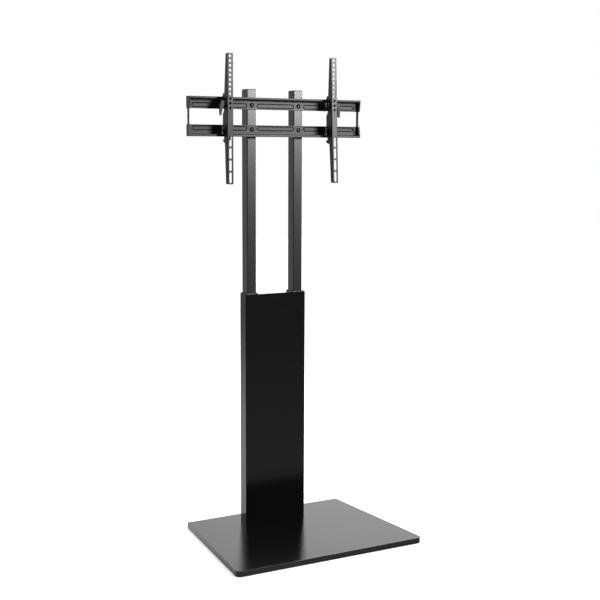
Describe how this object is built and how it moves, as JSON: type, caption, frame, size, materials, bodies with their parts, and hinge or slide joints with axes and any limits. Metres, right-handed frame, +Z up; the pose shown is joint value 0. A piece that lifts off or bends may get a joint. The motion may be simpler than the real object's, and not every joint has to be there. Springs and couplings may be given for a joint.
{
  "type": "television floor stand",
  "caption": "Floor stand for a television: wide base plate, telescopic posts behind a sheet cover, and hooked rails that carry sliding, tilting bracket arms.",
  "frame": {"origin": "on the floor, under the middle of the base plate", "axes": "+X to the viewer's right along the rails, +Y towards the back, +Z up; the front faces -Y"},
  "size_m": [0.6784, 0.502, 1.6064],
  "materials": {
    "gloss_black_plate": "fibreboard under gloss black lacquer, mirror-like at a low angle",
    "black_steel": "satin black powder coat",
    "cover_sheet": "fine satin black coat",
    "dark_screw": "blackened steel screws",
    "black_plastic": "moulded black plastic",
    "rubber_pad": "matt rubber"
  },
  "bodies": {
    "base": {"base_plate": "gloss_black_plate", "foot_pad_front_left": "rubber_pad", "foot_pad_front_right": "rubber_pad", "foot_pad_rear_left": "rubber_pad", "foot_pad_rear_right": "rubber_pad", "base_bolt_1": "dark_screw", "base_bolt_2": "dark_screw", "base_bolt_3": "dark_screw", "base_bolt_4": "dark_screw", "foot_plate": "black_steel", "brace_upper": "black_steel", "brace_lower": "black_steel", "column_cover": "cover_sheet", "cover_hook": "black_steel", "cover_screw_left": "dark_screw", "cover_screw_right": "dark_screw", "outer_sleeve_left": "black_steel", "outer_sleeve_right": "black_steel", "sleeve_collar_left": "black_plastic", "sleeve_collar_right": "black_plastic", "height_clamp_bolt_left": "dark_screw", "height_clamp_bolt_right": "dark_screw"},
    "lift": {"post_left": "black_steel", "post_right": "black_steel", "post_cap_left": "black_plastic", "post_cap_right": "black_plastic", "post_glide_left": "black_plastic", "post_glide_right": "black_plastic", "rail_upper": "black_steel", "rail_lower": "black_steel", "rail_bolt_upper_left": "dark_screw", "rail_bolt_upper_right": "dark_screw", "rail_bolt_lower_left": "dark_screw", "rail_bolt_lower_right": "dark_screw", "end_plate_left": "black_steel", "end_plate_right": "black_steel", "end_rivet_upper_left": "dark_screw", "end_rivet_upper_right": "dark_screw", "end_rivet_lower_left": "dark_screw", "end_rivet_lower_right": "dark_screw", "rail_end_cap_upper_left": "black_plastic", "rail_end_cap_upper_right": "black_plastic", "rail_end_cap_lower_left": "black_plastic", "rail_end_cap_lower_right": "black_plastic"},
    "left_carriage": {"left_hanger": "black_steel", "left_latch_pin": "dark_screw", "left_pivot_bolt": "dark_screw"},
    "left_tilting_arm": {"left_arm": "black_steel", "left_lock_bolt": "dark_screw", "left_lock_nut": "dark_screw"},
    "left_handle": {"left_lever": "black_plastic"},
    "left_catch": {"left_latch": "black_plastic"},
    "right_carriage": {"right_hanger": "black_steel", "right_latch_pin": "dark_screw", "right_pivot_bolt": "dark_screw"},
    "right_tilting_arm": {"right_arm": "black_steel", "right_lock_bolt": "dark_screw", "right_lock_nut": "dark_screw"},
    "right_handle": {"right_lever": "black_plastic"},
    "right_catch": {"right_latch": "black_plastic"}
  },
  "joints": [
    {"name": "height_slide", "type": "slide", "parent": "base", "child": "lift", "axis": [0, 0, 1], "range_m": [-0.4, 0.15]},
    {"name": "left_arm_slide", "type": "slide", "parent": "lift", "child": "left_carriage", "axis": [1, 0, 0], "range_m": [-0.08, 0.14]},
    {"name": "left_arm_tilt", "type": "hinge", "parent": "left_carriage", "child": "left_tilting_arm", "pos_m": [-0.1924, 0.1238, 1.449], "axis": [1, 0, 0], "range_deg": [-3, 7]},
    {"name": "left_lever_turn", "type": "hinge", "parent": "left_carriage", "child": "left_handle", "pos_m": [-0.1924, 0.1238, 1.449], "axis": [1, 0, 0], "range_deg": [0, 55]},
    {"name": "left_catch_slide", "type": "slide", "parent": "left_carriage", "child": "left_catch", "axis": [0, 0, 1], "range_m": [0, 0.0146]},
    {"name": "right_arm_slide", "type": "slide", "parent": "lift", "child": "right_carriage", "axis": [1, 0, 0], "range_m": [-0.14, 0.08]},
    {"name": "right_arm_tilt", "type": "hinge", "parent": "right_carriage", "child": "right_tilting_arm", "pos_m": [0.1945, 0.1238, 1.449], "axis": [1, 0, 0], "range_deg": [-0.4, 9.6]},
    {"name": "right_lever_turn", "type": "hinge", "parent": "right_carriage", "child": "right_handle", "pos_m": [0.1945, 0.1238, 1.449], "axis": [1, 0, 0], "range_deg": [0, 55]},
    {"name": "right_catch_slide", "type": "slide", "parent": "right_carriage", "child": "right_catch", "axis": [0, 0, 1], "range_m": [0, 0.0146]}
  ]
}
